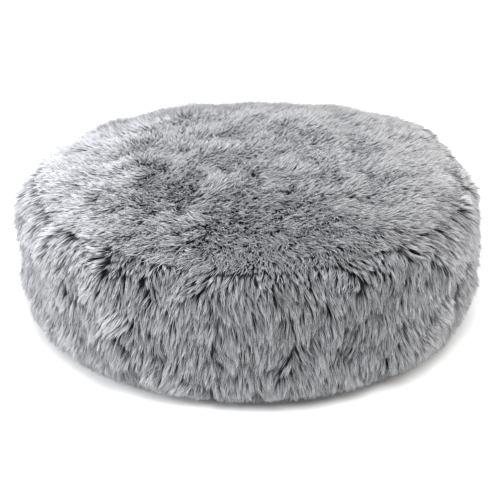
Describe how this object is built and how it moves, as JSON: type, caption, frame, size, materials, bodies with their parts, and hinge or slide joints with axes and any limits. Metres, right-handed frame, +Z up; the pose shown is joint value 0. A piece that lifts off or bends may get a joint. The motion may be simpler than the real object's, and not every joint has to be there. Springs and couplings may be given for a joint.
{
  "type": "pet cushion bed",
  "caption": "Round, deeply filled pet cushion bed with a long-pile faux fur cover, a plain woven base and a zip at the back, over a separate inner pad.",
  "frame": {"origin": "centre of the underside, on the floor", "axes": "+Z up, -Y towards the front, +Y towards the zip at the back, +X to the right seen from the front"},
  "size_m": [0.6, 0.6, 0.23],
  "materials": {
    "fur": "long-pile faux fur, dark slate roots and silver-grey tips",
    "base_cloth": "plain woven polyester with small non-slip dots",
    "zip_tape": "woven polyester tape",
    "coil_nylon": "smooth nylon coil",
    "zip_metal": "satin nickel plate",
    "label_satin": "blank satin label",
    "liner_cloth": "thin plain lining",
    "fibre": "loose polyester fibre"
  },
  "bodies": {
    "cover": {"top_panel": "fur", "side_wall_front": "fur", "side_wall_back": "fur", "base_panel": "base_cloth", "zip_tape_upper": "zip_tape", "zip_tape_lower": "zip_tape", "zip_coil_upper": "coil_nylon", "zip_coil_lower": "coil_nylon", "zip_top_stop_upper": "zip_metal", "zip_top_stop_lower": "zip_metal", "zip_bottom_stop": "zip_metal", "zip_end_tab_left": "base_cloth", "zip_end_tab_right": "base_cloth", "care_label": "label_satin", "liner_top": "liner_cloth", "liner_wall": "liner_cloth", "liner_base": "liner_cloth", "fibre_fill": "fibre"},
    "zip_slider": {"zip_slider": "zip_metal"},
    "zip_pull_tab": {"zip_pull_tab": "zip_metal"}
  },
  "joints": [
    {"name": "zip_slider_travel", "type": "hinge", "parent": "cover", "child": "zip_slider", "pos_m": [0, 0, 0.0187], "axis": [0, 0, -1], "range_deg": [0, 81.24]},
    {"name": "zip_pull_tab_swing", "type": "hinge", "parent": "zip_slider", "child": "zip_pull_tab", "pos_m": [-0.17738, 0.2068, 0.0187], "axis": [0, 0, 1], "range_deg": [0, 170]}
  ]
}
